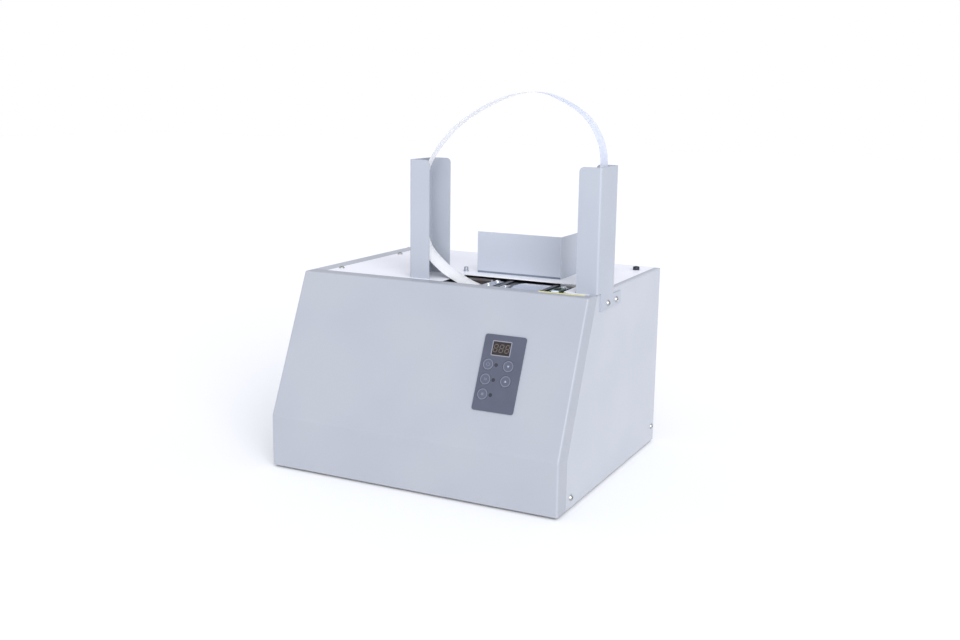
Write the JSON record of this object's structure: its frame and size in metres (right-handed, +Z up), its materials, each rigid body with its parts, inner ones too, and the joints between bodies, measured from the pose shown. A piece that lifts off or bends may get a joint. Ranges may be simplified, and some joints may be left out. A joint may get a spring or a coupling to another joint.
{
  "type": "banknote strapping machine",
  "caption": "Counter machine that straps bundles of notes: sloping sheet housing, two upright channels holding a paper strap loop, stack stop, keypad panel, strapping head.",
  "frame": {"origin": "middle of the housing's footprint, on the surface the rubber feet stand on", "axes": "+Z up; +X to the right seen from the front; +Y towards the rear, so the slanted front with its keypad faces -Y"},
  "size_m": [0.4075, 0.3528, 0.4826],
  "materials": {
    "cover_paint": "satin powder coat, pale blue grey",
    "side_paint": "satin powder coat, pale grey",
    "plate_paint": "satin powder coat, near white",
    "upright_paint": "satin powder coat, blue grey",
    "zinc": "zinc plated",
    "steel": "bright ground steel",
    "light_metal": "milled",
    "motor_paint": "satin black",
    "brass": "turned",
    "black_rubber": "matte",
    "roller_rubber": "matte, ground",
    "brown_plastic": "matte dark brown",
    "white_plastic": "matte white",
    "black_plastic": "fine grain black",
    "membrane": "grey blue film",
    "key_film": "light grey blue film",
    "window": "smoked window",
    "lamp": "clear coloured lens",
    "yellow_trim": "yellow edge tape",
    "circuit": "green laminate with fittings",
    "paper": "white kraft paper",
    "transformer": "varnished laminations and winding"
  },
  "bodies": {
    "housing": {"front_cover": "cover_paint", "left_side_panel": "side_paint", "right_side_panel": "side_paint", "rear_panel": "side_paint", "top_plate": "plate_paint", "base_pan": "zinc", "rubber_feet": "black_rubber", "right_upright": "upright_paint", "left_upright": "upright_paint", "stack_stop": "upright_paint", "edge_trim": "yellow_trim", "table_studs": "zinc", "panel_screws": "zinc", "control_membrane": "membrane", "display_window": "window", "indicator_lamps": "lamp", "control_board": "circuit", "paper_strap": "paper", "head_frame_left": "zinc", "head_frame_right": "zinc", "frame_tie_rods": "steel", "camshaft_bushes": "brass", "frame_screws": "zinc", "press_guide_block": "light_metal", "grip_bridges": "steel", "anvil_guide": "light_metal", "strap_guide": "brown_plastic", "motor_gearbox": "light_metal", "drive_motor": "motor_paint", "feed_bracket": "zinc", "feed_motor": "motor_paint", "idler_bracket": "zinc", "roller_pins": "steel", "reel_stand": "zinc", "transformer": "transformer", "power_inlet": "black_plastic", "switch_frame": "black_plastic"},
    "left_press": {"left_press": "steel"},
    "centre_press": {"centre_press": "steel", "cutter_blade": "steel"},
    "right_press": {"right_press": "steel"},
    "anvil": {"anvil_plate": "steel"},
    "heater": {"heater_block": "light_metal", "heater_blade": "steel"},
    "camshaft": {"camshaft": "steel", "press_cams": "steel", "cam_gear": "steel"},
    "pinion": {"motor_pinion": "brass"},
    "feed_roller": {"feed_roller": "roller_rubber"},
    "pinch_roller": {"pinch_roller": "roller_rubber"},
    "idler": {"idler_roller": "white_plastic"},
    "reel": {"tape_reel": "white_plastic", "paper_roll": "paper"},
    "rocker": {"power_rocker": "black_plastic"},
    "key_left_top": {"key_left_top": "key_film"},
    "key_left_middle": {"key_left_middle": "key_film"},
    "key_left_bottom": {"key_left_bottom": "key_film"},
    "key_right_top": {"key_right_top": "key_film"},
    "key_right_middle": {"key_right_middle": "key_film"}
  },
  "joints": [
    {"name": "left_press_lift", "type": "slide", "parent": "housing", "child": "left_press", "axis": [0, 0, 1], "range_m": [0, 0.0054]},
    {"name": "centre_press_lift", "type": "slide", "parent": "housing", "child": "centre_press", "axis": [0, 0, 1], "range_m": [0, 0.0054]},
    {"name": "right_press_lift", "type": "slide", "parent": "housing", "child": "right_press", "axis": [0, 0, 1], "range_m": [0, 0.0054]},
    {"name": "anvil_slide", "type": "slide", "parent": "housing", "child": "anvil", "axis": [0, 1, 0], "range_m": [0, 0.03]},
    {"name": "heater_slide", "type": "slide", "parent": "housing", "child": "heater", "axis": [0, -1, 0], "range_m": [0, 0.024]},
    {"name": "camshaft_spin", "type": "hinge", "parent": "housing", "child": "camshaft", "pos_m": [0, -0.0425, 0.1786], "axis": [1, 0, 0], "continuous": true},
    {"name": "pinion_spin", "type": "hinge", "parent": "housing", "child": "pinion", "pos_m": [-0.063, -0.00093, 0.1546], "axis": [1, 0, 0], "continuous": true},
    {"name": "feed_spin", "type": "hinge", "parent": "housing", "child": "feed_roller", "pos_m": [0.1737, -0.0425, 0.19], "axis": [0, 1, 0], "continuous": true},
    {"name": "pinch_spin", "type": "hinge", "parent": "housing", "child": "pinch_roller", "pos_m": [0.1904, -0.0425, 0.19], "axis": [0, 1, 0], "continuous": true},
    {"name": "idler_spin", "type": "hinge", "parent": "housing", "child": "idler", "pos_m": [0.1727, -0.0425, 0.0428], "axis": [0, 1, 0], "continuous": true},
    {"name": "reel_spin", "type": "hinge", "parent": "housing", "child": "reel", "pos_m": [-0.12875, -0.0425, 0.08975], "axis": [0, 1, 0], "continuous": true},
    {"name": "power_rock", "type": "hinge", "parent": "housing", "child": "rocker", "pos_m": [0.07, 0.1756, 0.05], "axis": [1, 0, 0], "range_deg": [-16, 0]},
    {"name": "key_left_top_press", "type": "slide", "parent": "housing", "child": "key_left_top", "axis": [0, 0.915, -0.4035], "range_m": [0, 0.0005], "stiffness_N_per_m": 400},
    {"name": "key_left_middle_press", "type": "slide", "parent": "housing", "child": "key_left_middle", "axis": [0, 0.915, -0.4035], "range_m": [0, 0.0005], "stiffness_N_per_m": 400},
    {"name": "key_left_bottom_press", "type": "slide", "parent": "housing", "child": "key_left_bottom", "axis": [0, 0.915, -0.4035], "range_m": [0, 0.0005], "stiffness_N_per_m": 400},
    {"name": "key_right_top_press", "type": "slide", "parent": "housing", "child": "key_right_top", "axis": [0, 0.915, -0.4035], "range_m": [0, 0.0005], "stiffness_N_per_m": 400},
    {"name": "key_right_middle_press", "type": "slide", "parent": "housing", "child": "key_right_middle", "axis": [0, 0.915, -0.4035], "range_m": [0, 0.0005], "stiffness_N_per_m": 400}
  ],
  "couplings": [
    {"joint": "pinion_spin", "follows": "camshaft_spin", "ratio": -3},
    {"joint": "pinch_spin", "follows": "feed_spin", "ratio": -1.3846}
  ]
}
